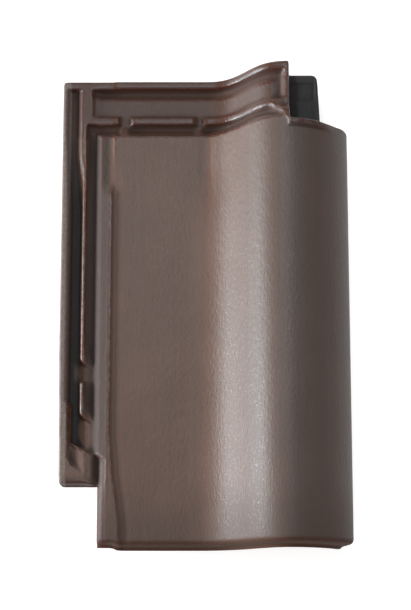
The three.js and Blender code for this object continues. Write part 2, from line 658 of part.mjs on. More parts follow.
// ---- Joined and cut ----
const headLock = sum(headBlock, lockBlock).subtract(coverCut)
  .subtract(sum(channelCut, bandCut, pocketCut, secondCut, ...gapCuts)).add(sum(...gapRamps));
const shell = sum(
  headLock, body, plateau, shoulderRib, shoulderWall, crestWall, ...tabSolids, ...nibSolids, ...footRibSolids,
  coverRib);
const waterLock = shell.subtract(sum(channelA, channelB, channelFoot, blockPocket));
const built = sum(waterLock, ...innerRibs).subtract(lockNose).intersect(outline);

const mesh = built.getMesh();
const geometry = new THREE.BufferGeometry();
geometry.setAttribute('position', new THREE.BufferAttribute(new Float32Array(mesh.vertProperties), 3));
geometry.setIndex(new THREE.BufferAttribute(new Uint32Array(mesh.triVerts), 1));
geometry.computeVertexNormals();

const engobe = new THREE.MeshStandardMaterial({ color: '#6b5a52', roughness: 0.45, metalness: 0 });
const tile = new THREE.Mesh(geometry, engobe);
tile.name = 'roof_tile';
tile.position.set(-tileWidth / 2, -tileLength / 2, standHeight);
const group = new THREE.Group();
group.add(tile);

export default group;
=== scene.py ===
"""An interlocking clay roof tile with an S roll, pressed in one piece, coated with engobe and fired."""
import math

import bpy
import numpy as np
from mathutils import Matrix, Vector


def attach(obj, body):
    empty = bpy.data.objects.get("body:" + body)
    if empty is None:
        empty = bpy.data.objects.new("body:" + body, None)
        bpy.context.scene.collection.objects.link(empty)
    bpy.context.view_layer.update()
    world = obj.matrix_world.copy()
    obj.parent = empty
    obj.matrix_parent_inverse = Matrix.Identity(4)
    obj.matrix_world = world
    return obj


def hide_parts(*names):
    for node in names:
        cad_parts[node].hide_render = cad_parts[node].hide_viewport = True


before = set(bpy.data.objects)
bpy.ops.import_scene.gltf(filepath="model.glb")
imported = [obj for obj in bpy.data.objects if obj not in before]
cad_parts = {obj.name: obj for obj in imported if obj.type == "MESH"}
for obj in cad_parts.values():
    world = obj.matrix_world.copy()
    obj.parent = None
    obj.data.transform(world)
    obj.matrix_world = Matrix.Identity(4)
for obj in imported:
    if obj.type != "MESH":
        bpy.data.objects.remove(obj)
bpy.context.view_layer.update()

# ======== The pressing and its face: pan, roll and shelf ========
# The tile is pressed from one bat of clay between two moulds. It has a flat pan in the middle, a shelf on the
# left that the next tile covers, and a roll on the right, an S that rises from the pan and a flank that falls
# plumb to the edge. Lengths are millimetres from the left foot corner, heights from the pan's face.
tile_width = 285
tile_length = 474

roll_width = 148
flank_width = 63
roll_height = 57
roll_ease = 0.453  # share of the S that each end spends turning
flank_crown = 30
flank_plumb = 22
edge_height = 1.4
edge_round = 2
roll_start = tile_width - roll_width
roll_crest = tile_width - flank_width

shelf_head = -1.6  # near the head lock the shelf lies lower
shelf_foot = 1.2
shelf_rise = (107, 120)
shelf_edge = 47.8
step_start = shelf_edge + 2.8
step_width = 2.4
dip_depth = 1.3  # a shallow dip along the foot of the step
dip_width = 9
dip_fades = (75, 110)
fold_depth = 1.3
fold_bottom = roll_start + 10
fold_end = roll_start + 17
fold_fades = (95, 135)
hollow_lift = 1.8
hollow_middle = roll_start + 16
hollow_reach = 28

grain = 0.5  # spacing of the raster on which the face is pressed
border = 6  # the raster runs this far past the tile's edges
x, y = np.meshgrid(
    np.arange(-border, tile_width + border, grain), np.arange(-border, tile_length + border, grain))
across, along = np.clip(x, 0, tile_width), np.clip(y, 0, tile_length)
d = tile_length - along  # distance from the head edge


def bezier(start, start_pull, end_pull, end, steps=600):
    t = np.linspace(0, 1, steps)[:, None]
    points = [np.array(p, float) for p in (start, start_pull, end_pull, end)]
    weights = [(1 - t) ** 3, 3 * (1 - t) ** 2 * t, 3 * (1 - t) * t ** 2, t ** 3]
    return sum(w * p for w, p in zip(weights, points))


def s_curve(left, right, low, high, ease):
    reach = (right - left) * ease
    return bezier((left, low), (left + reach, low), (right - reach, high), (right, high))


def profile(at, *knots):
    """Height along a run of straight lines; each knot's place and height may change over the face."""
    height = knots[0][1]
    for (a, start), (b, end) in zip(knots, knots[1:]):
        height = height + (end - start) * np.clip((at - a) / (b - a), 0, 1)
    return height


rise_line = s_curve(roll_start, roll_crest, 0, roll_height, roll_ease)
flank_line = bezier(
    (roll_crest, roll_height), (roll_crest + flank_crown, roll_height),
    (tile_width, edge_height + edge_round + flank_plumb), (tile_width, edge_height + edge_round))
roll_line = np.vstack([[(-border, 0)], rise_line, flank_line[1:]])
slope = np.gradient(roll_line, axis=0)
roll_lean = np.arctan2(slope[:, 1], slope[:, 0])
roll = np.interp(across, *roll_line.T)

# The step down from the shelf to the pan moves right at the foot.
step_drift = profile(along, (10, 10), (25, 10), (51, 6.5), (71, 3.5), (112, 0))
step_top = step_start + step_drift
step_foot = step_top + step_width
shelf = profile(d, (shelf_rise[0], shelf_head), (shelf_rise[1], shelf_foot))
body = roll + shelf * profile(across, (step_top, 1), (step_foot, 0))
# Near the head the pan meets the roll in a sharp fold, and further down in a fuller hollow.
fold = profile(across, (roll_start, 0), (fold_bottom, -fold_depth), (fold_end, 0))
hollow = hollow_lift * np.clip(1 - ((across - hollow_middle) / hollow_reach) ** 2, 0, 1) ** 2
body = body + hollow + (fold - hollow) * profile(d, (fold_fades[0], 1), (fold_fades[1], 0))
dip = profile(across, (step_foot - 2, 0), (step_foot, dip_depth), (step_foot + dip_width, 0))
body = body - dip * profile(d, (dip_fades[0], 0), (dip_fades[1], 1))

# ======== Head lock ========
# Two ribs and two channels run across the head, under the foot of the tile above. Rain that is driven up the
# joint is caught there, and runs out onto the pan through two gaps in the second rib. They are pressed with
# the face, and follow a shallower S than the roll. The flat band between the ribs is plain.
head_drop = 3  # rim and rib tops lie this far under the pan's face
crest_drop = 10  # and this far under the roll's crest
head_width = roll_crest + 4
head_crest = roll_height - crest_drop
head_delay = 9  # the head's S starts this much further right than the roll's
head_thickness = 15
rim_width = 7.4
channel_depth = 7.5
floor_start = rim_width + 2.4
floor_end = floor_start + 3.6
band_start = floor_end + 5.5
band_end = band_start + 17.7
band_depth = 4
rib_start = band_end + 2.3
rib_end = rib_start + 6.4
second_depth = 6
second_start = rib_end + 2.3
second_left = 24.8
body_lean = 15  # the body's head end leans forward by this much
body_left = 28
head_length = second_start + 4.4 + body_lean / 2
cover_drop = 1  # the zone that the next tile covers lies this much lower
cover_step = 50.5
cover_ramp = 3
lock_top = -head_drop - cover_drop
nothing = -60  # lower than any clay

recess_left = 29
recess_toe = recess_left + 3
recess_toe_share = 0.75
recess_full = recess_left + 11
band_right = head_width - 19
pocket_right = head_width - 7.5
pocket_wall = 2.6
gaps = [(54.4, 72.2), (roll_start - 5.8, roll_start + 8.4)]
gap_floor = -head_drop - band_depth
gap_flare = 2.5  # the gaps' ends slope out by this much past their width
gap_left_slope = 5
gap_right_slope = 4.5
gap_reach = 3.4  # how far past its width the rib is cut
ramp_bank = 5  # height of the banks at both sides of a gap's ramp
crease_width = 0.7


def pressed(face, floor, where):
    return np.where(where, np.minimum(face, floor), face)


def raised(face, top, where):
    return np.where(where, np.maximum(face, top), face)


head_line = s_curve(roll_start + head_delay, roll_crest, -head_drop, head_crest, 0.5)
rib_tops = np.interp(across, *head_line.T)
cover_top = profile(across, (cover_step, lock_top), (cover_step + cover_ramp, -head_drop))
lock = np.where(across < roll_start, cover_top, rib_tops)

trough = profile(
    d, (rim_width, 0), (floor_start, -channel_depth), (floor_end, -channel_depth), (band_start, -band_depth),
    (band_end, -band_depth), (rib_start, 0))
pocket = profile(
    d, (rim_width, 0), (floor_start, -channel_depth), (band_end - 1, -channel_depth), (band_end + 1, 0))
pocket_share = profile(across, (band_right, 0), (pocket_right - 2, 1))
recess_share = profile(
    across, (recess_left, 0), (recess_toe, recess_toe_share), (recess_full, 1), (pocket_right, 1),
    (pocket_right + pocket_wall, 0))
recess = (trough + (pocket - trough) * pocket_share) * recess_share
lock = np.minimum(lock, rib_tops + recess)

second_channel = profile(d, (rib_end, 0), (second_start, -second_depth))
lock = pressed(lock, rib_tops + second_channel, (across > second_left) & (d > rib_end))
for left, right in gaps:
    opening = profile(
        across, (left - gap_flare, 1), (left + gap_left_slope, gap_floor),
        (right - gap_right_slope, gap_floor), (right + gap_flare, 1))
    at_gap = abs(across - (left + right) / 2) < (right - left) / 2 + gap_reach
    lock = pressed(lock, opening, at_gap & (d > band_end - 0.5) & (d < second_start))
    banks = profile(
        across, (left + 1, ramp_bank), (left + 6, 0), (right - 6, 0), (right - 1, ramp_bank))
    ramp = profile(d, (second_start, gap_floor), (head_length, 0)) - banks
    lock = raised(lock, ramp, (across > left + 1) & (across < right - 1) & (d > second_start))
face = np.where(d < head_length + 3, lock, nothing)

head_base = np.where(across < roll_start, -head_thickness - head_drop, rib_tops - head_thickness)
body_end = body - (body - head_base) * profile(d, (head_length - body_lean, 1), (head_length, 0))
face = raised(face, body_end, (d > head_length - body_lean) & (across > body_left))

# Two sharp creases, where the slip runs off and the clay shows dark red.
crease = np.exp(-((d - band_start) / crease_width) ** 2) * (recess_share > 0.9)
crease = crease + np.exp(-((d - head_length) / crease_width) ** 2) * (across > 36) * (across < roll_crest)

# ======== Notch, tab and shoulder ========
# The top right corner is notched for the roll of the tile beside it. A tab with a raised rim closes the notch
# below, and a small rib runs along the shoulder where the roll begins, joined to the second rib by a bank.
shoulder = 62
tab_top = 11
tab_rim = 1.6
tab_rim_width = 5
tab_head_rim = 9
tab_right = head_width + 29.6
tab_flare = 2.9
tab_below_roll = 4
shoulder_rib_width = 6.5
shoulder_rib_height = 2.6
shoulder_rib_foot = shoulder + shoulder_rib_width
shoulder_rib_right = head_width + 46
shoulder_rib_fade = 20
bank_foot = shoulder_rib_foot + 3

fade = np.clip((shoulder_rib_right - across) / shoulder_rib_fade, 0, 1)
shoulder_rib = profile(
    d, (shoulder, shoulder_rib_height), (shoulder_rib_foot, shoulder_rib_height), (bank_foot, 0))
face = raised(face, roll + shoulder_rib * fade, (across > head_width - 3) & (d > shoulder))

bank = bezier(
    (rib_end - 3, head_width - 23), (rib_end + 6, head_width - 15), (rib_end + 13, head_width - 9),
    (bank_foot, head_width - 5.5))
bank_left = np.interp(d, *bank.T)
plateau_top = profile(
    d, (rib_start, head_crest), (rib_end, head_crest), (rib_end + 7, roll_height - 0.5),
    (shoulder, roll_height + shoulder_rib_height), (shoulder_rib_foot, roll_height + shoulder_rib_height),
    (bank_foot, roll_height - 0.4))
plateau_base = np.interp(bank_left, *head_line.T) - second_depth
face = raised(
    face, profile(across, (bank_left - 2, plateau_base), (bank_left + 5, plateau_top)),
    (across > bank_left - 2) & (across <= head_width) & (d > rib_end - 3) & (d < bank_foot))

tab_step = profile(d, (27, 0), (28.5, tab_rim), (65, 3.6))
tab_side = np.where(across > tab_right - tab_rim_width, tab_rim, tab_step)
tab = tab_top + np.maximum(tab_side, np.where(d < tab_head_rim, tab_rim, 0))
notch = (across > head_width) & (d < shoulder)
past_tab = across >= tab_right + tab_flare
face = np.where(notch, np.where(past_tab, np.minimum(tab, roll - tab_below_roll), tab), face)

# ======== Water lock ========
# Down the left side run an outer rib, channel A, a thin inner rib and channel B. The inner rib is broken near
# the foot, and each piece of it ends in a slanted fin, which throws the water from channel A over into
# channel B and so onto the tile below. A block closes channel A at its foot.
lock_end = 61.5
inner_rib_left = 20.3
inner_rib_right = second_left
rib_side = 1.2  # its steep side, and then its rounded crown, take this much of its width
rib_crown = 2.1
rib_seat = 19.6
channel_b_left = 22
channel_a_right = 22.6
second_floor_left = 28
second_floor_right = 33
knee = 39.5
knee_height = -2.4
second_floor = lock_top - 4.2
sill = lock_top - 7
block_head = 362.6  # the block's head edge, at the tile's left edge
block_slant = 0.535

# Both channels deepen from the head down to their full depth.
outer_rib = profile(d, (62, 4.6), (78, 5.5), (136, 6.4), (329, 6.4), (333, 9.6))
deepening = profile(d, (78, 0), (136, 1))
wall_width = 1.6 + 2.3 * deepening
floor_height = lock_top - 6 - 3.6 * deepening
middle = (outer_rib + rib_seat) / 2
floor_right = middle + 1 + (17.4 - middle) * deepening
seat_height = lock_top - 9 * deepening
channel_a = profile(
    across, (outer_rib, lock_top), (outer_rib + wall_width, floor_height), (floor_right, floor_height),
    (rib_seat, seat_height), (channel_a_right, sill + (lock_top - sill) * (1 - deepening)))
turn = block_head + block_slant * across
head_wall = profile(d, (rim_width + 1, lock_top), (rim_width + 3, nothing))
face = raised(face, lock_top, (across < knee + 1) & (d > head_length))
face = pressed(
    face, np.maximum(channel_a, head_wall),
    (across > outer_rib) & (across < channel_a_right) & (d > rim_width) & (d < turn))
channel_b = profile(
    across, (channel_b_left, sill), (second_floor_left, second_floor), (second_floor_right, second_floor),
    (knee, knee_height), (shelf_edge, shelf))
face = pressed(
    face, channel_b, (across > channel_b_left) & (across < shelf_edge) & (d > rib_end + 0.6) & (d < turn))

# The foot of the lock: the block, its slanted pocket, and channel B running out beside it.
block_ridge = 26.5
run_out = profile(d, (406.5, 1), (424.5, 0.5), (tile_length, 0.2))
beside = profile(
    across, (block_ridge, lock_top), (33.8, lock_top - 1.4), (36.6, lock_top - 4.4 * run_out),
    (knee, lock_top - 4.2 * run_out), (42.5, -3 * run_out), (shelf_edge, shelf))
face = pressed(face, beside, (across > block_ridge) & (across < shelf_edge) & (d >= turn))
pocket_left = 9.6
pocket_depth = 4.2
pocket_head = profile(across, (12.2, 371), (block_ridge, 380))
pocket_foot = profile(across, (11, 385), (14, 391), (block_ridge, 400))
block_pocket = profile(
    across, (pocket_left, lock_top), (pocket_left + 2.6, lock_top - pocket_depth), (block_ridge, lock_top))
face = pressed(
    face, block_pocket,
    (across > pocket_left) & (across < block_ridge) & (d > pocket_head) & (d < pocket_foot))


def inner_rib(face, start, end):
    """One length of the inner rib; its foot turns to the right in a fin that leans back into channel B."""
    rib_base = -15
    turn_radius = 5
    fin_slant = 0.59
    fin_start = end - 24
    fin_run = 36
    fin_spread = 13
    fin_base = -14.6
    fin_lift = 7.6
    flare = np.clip((d - fin_start) / fin_run, 0, 1)
    from_side = across - inner_rib_left + rib_side
    from_end = (end + fin_slant * (across - inner_rib_left) - d) / math.hypot(1, fin_slant)
    edge = turn_radius - np.hypot(
        np.clip(turn_radius - from_side, 0, None), np.clip(turn_radius - from_end, 0, None))
    outside = profile(edge, (0, rib_base), (rib_side, lock_top - 1.9), (rib_side + rib_crown, lock_top))
    inside = profile(
        across, (inner_rib_right - 0.8 * flare, lock_top),
        (second_floor_left + fin_spread * flare, fin_base + fin_lift * flare))
    tip = profile(d, (start - 0.5, rib_base), (start + 1.5, lock_top))
    rib = np.minimum(np.minimum(outside, inside), tip)
    return raised(face, rib, (across > 19) & (across < 42) & (d > start - 1) & (d < end + 14))


face = inner_rib(face, 20, 291)
face = inner_rib(face, 308.5, 344.5)

nose_run = 11
nose_reach = profile(across, (14, 1), (38, 0.45))
lock_nose = profile(
    (along - lock_end) / nose_reach, (0.6, -13), (1.8, -9), (4.2, -6.2), (7.5, -4.6), (nose_run, lock_top))
face = pressed(face, lock_nose, (across < 38.7) & (along < lock_end + nose_run))

# A chip is knocked off the outer rib, near its widening.
chip_place = (9.6, 337)
chip_reach = (1.6, 3.6)
chip_depth = 2
chip = np.hypot((across - chip_place[0]) / chip_reach[0], (d - chip_place[1]) / chip_reach[1])
face = face - chip_depth * np.clip(1 - chip ** 2, 0, 1)

# ======== Foot nose ========
# The foot edge is turned down in a rounded nose over a small toe, and is thicker than the rest, so that it
# looks full from the eaves. Each pair is the distance from the foot, and how far the face is sunk there.
nose_depth = 17
nose_end = 9.4
nose_blend = 15.4  # from here on the tile has its plain thickness
nose_calm = 0.8  # share of the face's relief that is gone where the nose ends
nose_profile = [
    (0, 13), (0.5, 12), (2, 11.3), (3.1, 9.5), (3.9, 6), (4.8, 3.1), (6, 1.35), (7.6, 0.35), (nose_end, 0)]
foot_left = 38.9
nose_setback = 2.6

# ======== Underside ========
# Two hooks, the nibs, hang the tile on its batten. Two ribs under the foot stand in the head lock of the tile
# below, a long rib under the roll's edge dips into the water lock of the tile beside, and a wall closes the
# roll at the notch.
clay = 12
stand_height = 27  # from the table up to the pan's face
lock_depth = 21
nib_head = 44
nib_foot = 60
nib_root = 6  # a nib slopes out over this length
nibs = [(50, 84), (roll_start + 3, roll_start + 45)]
foot_ribs = [(9, 14.5, 24.5), (43, 50, stand_height)]  # each from, to, and how far down
foot_ribs_left = 45
wall = 11
wall_right = 271
cover_rib = (263, 269)
cover_rib_base = -5.5

roll_base = roll_line + clay * np.stack([np.sin(roll_lean), -np.cos(roll_lean)], axis=1)
roll_base = roll_base[roll_base[:, 0] < tile_width - clay]
roll_under = np.interp(across, *roll_base.T)
head_slope = np.gradient(head_line, axis=0)
head_lean = np.arctan2(head_slope[:, 1], head_slope[:, 0])
head_base_line = head_line + head_thickness * np.stack([np.sin(head_lean), -np.cos(head_lean)], axis=1)
head_under = np.interp(across, *head_base_line.T)
head_share = profile(d, (head_length - body_lean, 1), (head_length + 18, 0))
base = roll_under + (head_under - roll_under) * head_share * profile(
    across, (roll_crest, 1), (roll_crest + 6, 0))
lock_base = profile(across, (second_floor_right, -lock_depth), (shelf_edge, -clay))
base = np.where((along > lock_end) & (across < shelf_edge), np.minimum(base, lock_base), base)
at_notch = (across > head_width - wall) & (across < wall_right) & (d < shoulder + wall)
base = pressed(base, tab_top - clay, at_notch)
for left, right in nibs:
    nib = profile(d, (nib_head - nib_root, 1 - head_thickness), (nib_head, -stand_height))
    base = pressed(base, nib, (across > left) & (across < right) & (d > nib_head - nib_root) & (d < nib_foot))
for start, end, depth in foot_ribs:
    at_rib = (across > foot_ribs_left) & (across < roll_crest) & (along > start) & (along < end)
    base = pressed(base, rib_tops + head_drop - depth, at_rib)
at_cover_rib = (across > cover_rib[0]) & (across < cover_rib[1]) & (along > 30) & (d > shoulder + wall - 1)
base = pressed(base, cover_rib_base, at_cover_rib)

# ======== Softening ========
# Pressed clay and thick slip leave no sharp corner, so both faces are softened all over, and more so on the
# slope of the head lock. Outside the tile's plan the face is dropped first, which rounds its outer edges.
fine_round = 0.85
broad_round = 1.7
base_round = 0.8
lock_taper = 1.6  # the lock narrows by this much toward the foot
lock_taper_run = (290, 120)  # it starts here and takes this long
outer_drop = 4
flank_plain = (276, 282)  # relief fades out between these, where the flank turns down


def softened(field, radius):
    reach = int(3 * radius / grain) + 1
    weights = np.exp(-0.5 * (np.arange(-reach, reach + 1) * grain / radius) ** 2)
    weights /= weights.sum()
    for _ in range(2):
        padded = np.pad(field, ((reach, reach), (0, 0)), mode="edge")
        field = sum(w * padded[k:k + len(field)] for k, w in enumerate(weights)).T
    return field


foot_side = (x < foot_left) & (y < lock_end)
off_tab = (x > tab_right + tab_flare * d / shoulder) & (d < shoulder) & (y > tile_length - shoulder)
face_relief = face - roll
left_edge = lock_taper * np.clip((d - lock_taper_run[0]) / lock_taper_run[1], 0, 1)
face_relief[(x < left_edge) | (y > tile_length)] -= outer_drop
face_relief[foot_side & (face_relief > -2 * outer_drop)] -= outer_drop
face_relief[off_tab & (x < tab_right + 10)] -= outer_drop
face_relief *= profile(x, (flank_plain[0], 1), (flank_plain[1], 0))
fine = softened(face_relief, fine_round)
broad = softened(face_relief, broad_round)
sloping = profile(x, (roll_start + 30, 0), (roll_start + 50, 1)) * profile(d, (60, 1), (75, 0))
sloping = sloping * profile(x, (head_width - 8, 1), (head_width - 4, 0))
face_relief = fine + (broad - fine) * sloping
base_relief = softened(base - roll_under, base_round)

# ======== The tile's surface ========
# Both faces are laid on one set of lines, close together at the locks and far apart on the plain pan. The
# underside keeps only some of them. The edges are walls of a few rows, rounded at the bottom.
mm = 0.001
wear_reach = 2  # wear shows on what stands out over this far around it
shade_reach = 5  # and painted shade darkens what lies low over this far
crease_wear = 0.5
edge_lip = 0.6
tab_corner = 8
head_corner = 5
lock_corner = 6
foot_corner = 3
wall_round = 1.5
tab_line = tab_right + tab_flare


def lines(end, *stretches):
    """Lines over stretches of (start, spacing, nth): the underside keeps every nth line of a stretch."""
    places, kept = [], []
    for (start, spacing, nth), following in zip(stretches, [s[0] for s in stretches[1:]] + [end]):
        count = max(1, round((following - start) / spacing))
        places += [start + (following - start) * k / count for k in range(count)]
        kept += [k % nth == 0 for k in range(count)]
    return np.array(places + [end], float), np.array(kept + [True])


across_lines, across_kept = lines(
    tile_width, (0, 0.75, 4), (foot_left, 1, 3), (60, 1.5, 2), (76, 4.5, 1), (120, 2.5, 1), (204, 1.4, 1),
    (head_width - 3, 0.5, 3), (head_width + 3, 2.4, 1), (tab_line - 8, 1, 2), (tab_line, 2.2, 1),
    (flank_plain[0], 1.2, 1), (281, 0.6, 1), (284, 0.25, 1), (284.75, 0.06, 1))
along_lines, along_kept = lines(
    tile_length, (0, 0.5, 1), (2, 0.55, 1), (nose_end, 1, 2), (nose_blend, 3, 1), (42, 1.2, 1), (52, 2.2, 1),
    (lock_end - 3, 0.6, 5), (lock_end, 0.6, 5), (lock_end + 12, 1, 4), (130, 1.1, 3), (150, 1.6, 2),
    (162, 1, 3), (216, 3.5, 1), (350, 1.6, 2), (368, 2.6, 1), (394, 0.9, 2),
    (tile_length - shoulder - 3, 0.5, 6), (tile_length - shoulder, 0.5, 3),
    (tile_length - shoulder + 3, 0.8, 3))

px, py = np.meshgrid(across_lines, along_lines)


def rounded_corner(px, py, centre, radius, sides):
    """Bends the lines in one corner square so that the square's outer sides lie on the corner's arc."""
    a = (px - centre[0]) * sides[0] / radius
    b = (py - centre[1]) * sides[1] / radius
    inside = (a > 0) & (b > 0) & (a <= 1.001) & (b <= 1.001)
    a, b = np.clip(a, 0, 1), np.clip(b, 0, 1)
    return (np.where(inside, centre[0] + sides[0] * radius * a * np.sqrt(1 - b * b / 2), px),
            np.where(inside, centre[1] + sides[1] * radius * b * np.sqrt(1 - a * a / 2), py))


head_part = py > tile_length - shoulder
px, py = rounded_corner(px, py, (tab_line - tab_corner, tile_length - tab_corner), tab_corner, (1, 1))
px, py = rounded_corner(px, py, (head_corner, tile_length - head_corner), head_corner, (-1, 1))
px, py = rounded_corner(px, py, (lock_corner, lock_end + lock_corner), lock_corner, (-1, -1))
px, py = rounded_corner(px, py, (tile_width - foot_corner, foot_corner), foot_corner, (1, -1))
flare = tab_flare * np.clip((py - (tile_length - shoulder)) / shoulder, 0, 1)
px = np.where(head_part & (px <= tab_line), px - flare * profile(px, (head_width + 8, 0), (tab_line, 1)), px)
taper = lock_taper * np.clip((tile_length - py - lock_taper_run[0]) / lock_taper_run[1], 0, 1)
px = px + taper * profile(px, (0, 1), (16, 0)) * (py > lock_end - 1)
setback = nose_setback * profile(px, (50, 1), (54, 0.85), (58, 0.15), (62, 0))
py = py + setback * profile(py, (0, 1), (30, 0))


def picked(field, px, py):
    """The raster's values at these places, blended between its four nearest points."""
    col = np.clip((px + border) / grain, 0, field.shape[1] - 1.01)
    row = np.clip((py + border) / grain, 0, field.shape[0] - 1.01)
    i, j = col.astype(int), row.astype(int)
    u, v = col - i, row - j
    low = (1 - u) * field[j, i] + u * field[j, i + 1]
    high = (1 - u) * field[j + 1, i] + u * field[j + 1, i + 1]
    return (1 - v) * low + v * high


lean = np.interp(px, roll_line[:, 0], roll_lean)
normal_x, normal_z = -np.sin(lean), np.cos(lean)
sunk = np.interp(along_lines, *np.array(nose_profile).T)[:, None]
thickness = np.interp(along_lines, [nose_end, nose_blend], [nose_depth, clay])[:, None]
surface_height = np.interp(px, *roll_line.T)

relief_share = 1 - nose_calm * sunk / nose_depth
face_points = np.stack([
    px - normal_x * sunk, py,
    surface_height - normal_z * sunk + picked(face_relief, px, py) * relief_share], axis=-1)
face_points[..., 2] = np.minimum(face_points[..., 2], roll_height + shoulder_rib_height)
tab_share = profile(tile_length - py, (shoulder, 1), (shoulder + 14, 0))
tab_share = tab_share * profile(px, (tab_line, 1), (flank_plain[0], 0))
base_x = px - normal_x * thickness * (1 - tab_share)
worn = picked(fine - softened(fine, wear_reach) + crease_wear * crease, px, py)
hollow_depth = picked(np.maximum(softened(fine, shade_reach) - fine, 0), px, py)
below = np.minimum(picked(base_relief, base_x, py) + thickness - clay, 0)
base_z = np.maximum(surface_height - normal_z * thickness + below, -stand_height)
base_points = np.stack([base_x, py, base_z], axis=-1)
base_points[..., 2] += tab_share * (picked(base, px, py) - base_points[..., 2])
inner_edge, outer_edge = tile_width - thickness[:, 0], tile_width - sunk[:, 0]
edge_turn = np.minimum(edge_round, (outer_edge - inner_edge) / 3)
edge_run = [(inner_edge + edge_lip, edge_height + edge_lip), (inner_edge + edge_turn, edge_height),
            (outer_edge - edge_turn, edge_height)]
for column, (edge_x, edge_z) in zip(range(-3, 0), edge_run):
    base_points[:, column, 0], base_points[:, column, 2] = edge_x, edge_z

middle_x = (across_lines[1:] + across_lines[:-1]) / 2
middle_y = ((along_lines[1:] + along_lines[:-1]) / 2)[:, None]
clay_cells = ~((middle_x < foot_left) & (middle_y < lock_end))
clay_cells &= ~((middle_x > tab_line) & (middle_y > tile_length - shoulder))

vertices, faces, wear, coat, hollow_shade = [], [], [], [], []
numbers = {}


def corner(key, point, worn=0.0, coated=0.0, hollow_depth=0.0):
    """The number of this vertex, which is made on first asking, in metres about the tile's middle."""
    if key not in numbers:
        numbers[key] = len(vertices)
        from_middle = (point[0] - tile_width / 2, point[1] - tile_length / 2, point[2] + stand_height)
        vertices.append(tuple(v * mm for v in from_middle))
        wear.append(float(worn))
        coat.append(coated)
        hollow_shade.append(float(hollow_depth))
    return numbers[key]


def outline_of(cells):
    """The cells' outer edge as a run of line crossings, anticlockwise seen from above."""
    padded = np.pad(cells, 1)
    following = {}
    for j, i in zip(*np.nonzero(cells)):
        sides = [((j, i), (j, i + 1), (0, 1)), ((j, i + 1), (j + 1, i + 1), (1, 2)),
                 ((j + 1, i + 1), (j + 1, i), (2, 1)), ((j + 1, i), (j, i), (1, 0))]
        for start, end, (down, right) in sides:
            if not padded[j + down, i + right]:
                following[start] = end
    run = [(0, len(across_lines) - 1)]
    while following[run[-1]] != run[0]:
        run.append(following[run[-1]])
    return run


for j, i in zip(*np.nonzero(clay_cells)):
    faces.append([corner(("face", key), face_points[key], worn[key], 1.0, hollow_depth[key])
                  for key in ((j, i), (j, i + 1), (j + 1, i + 1), (j + 1, i))])

outline = outline_of(clay_cells)
for n, key in enumerate(outline):
    before, after = face_points[outline[n - 1]], face_points[outline[(n + 1) % len(outline)]]
    run = Vector(((after - before)[0], (after - before)[1])).normalized()
    out = np.array([run.y, -run.x, 0])
    top, base_point = face_points[key], base_points[key]
    at_edge = key[1] == len(across_lines) - 1
    foot = np.array([*top[:2], base_point[2]]) if at_edge else base_point
    up = (top - foot) * wall_round / np.linalg.norm(top - foot)
    inset = base_point if at_edge else foot - out * wall_round
    rings = [foot + up, foot + 0.3 * (up - out * wall_round), inset]
    for name, point, coated in zip(("wall", "turn", "base"), rings, (0.7, 0.3, 0.0)):
        corner((name, key), point, 0.3, coated)
for a, b in zip(outline, outline[1:] + outline[:1]):
    for upper, lower in (("face", "wall"), ("wall", "turn"), ("turn", "base")):
        faces.append([numbers[upper, a], numbers[lower, a], numbers[lower, b], numbers[upper, b]])

kept_i, kept_j = np.flatnonzero(across_kept), np.flatnonzero(along_kept)
for j0, j1 in zip(kept_j, kept_j[1:]):
    for i0, i1 in zip(kept_i, kept_i[1:]):
        if not clay_cells[j0, i0]:
            continue
        sides = [[(j0, i) for i in range(i0, i1)], [(j, i1) for j in range(j0, j1)],
                 [(j1, i) for i in range(i1, i0, -1)], [(j, i0) for j in range(j1, j0, -1)]]
        ring = []
        for side in sides:
            at_wall = all(("wall", k) in numbers for k in side)
            ring += [key for n, key in enumerate(side) if n == 0 or ("base", key) in numbers and at_wall]
        faces.append([corner(("base", key), base_points[key]) for key in ring[::-1]])

mesh = bpy.data.meshes.new("roof_tile_surface")
mesh.from_pydata(vertices, [], faces)
for name, values in (("wear", wear), ("coat", coat), ("hollow_shade", hollow_shade)):
    mesh.attributes.new(name, "FLOAT", "POINT").data.foreach_set("value", values)
mesh.shade_smooth()
tile = bpy.data.objects.new("tile", mesh)
bpy.context.collection.objects.link(tile)
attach(tile, "root")
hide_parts("roof_tile")

# ======== Finish: engobe over fired clay ========
# Before firing, the face and edges are flooded with engobe, a thin clay slip that fires to satin dark brown.
# It runs thin and red on crests and beads, and leaves the underside bare but for some overspray. It has a
# fine orange peel, drawn out down the tile. The outer rib is rubbed in the stack. Shade is painted into the
# colour as well: on walls that face the foot, on the nose and the tab, in hollows, in channel B, toward the
# foot and on the roll, whose shaded flank is painted grey.


class Wire:
    """One output in a material; sums written on it add Math nodes."""

    def __init__(self, tree, socket=None):
        self.tree, self.socket = tree, socket

    def node(self, kind, settings, values, out=0):
        made = self.tree.nodes.new("ShaderNode" + kind)
        for name, value in settings.items():
            setattr(made, name, value)
        for name, value in values.items():
            if isinstance(value, Wire):
                self.tree.links.new(value.socket, made.inputs[name])
            else:
                made.inputs[name].default_value = value
        return Wire(self.tree, made.outputs[out])

    def into(self, socket):
        self.tree.links.new(self.socket, socket)

    def math(self, operation, *values):
        return self.node("Math", {"operation": operation}, dict(enumerate(values)))

    def __add__(self, other):
        return self.math("ADD", self, other)

    def __sub__(self, other):
        return self.math("SUBTRACT", self, other)

    def __rsub__(self, other):
        return self.math("SUBTRACT", other, self)

    def __mul__(self, other):
        return self.math("MULTIPLY", self, other)

    __radd__, __rmul__ = __add__, __mul__

    def between(self, low, high):
        """0 up to low, 1 from high on, and a soft step from one to the other."""
        return self.node("MapRange", {"interpolation_type": "SMOOTHSTEP"},
                         {"Value": self, "From Min": low, "From Max": high})

    def blend(self, first, second):
        """Two colours, mixed by this share of the second."""
        return self.node("Mix", {"data_type": "RGBA"}, {0: self, 6: first, 7: second}, out=2)


def hue(red, green, blue):
    return (red, green, blue, 1)


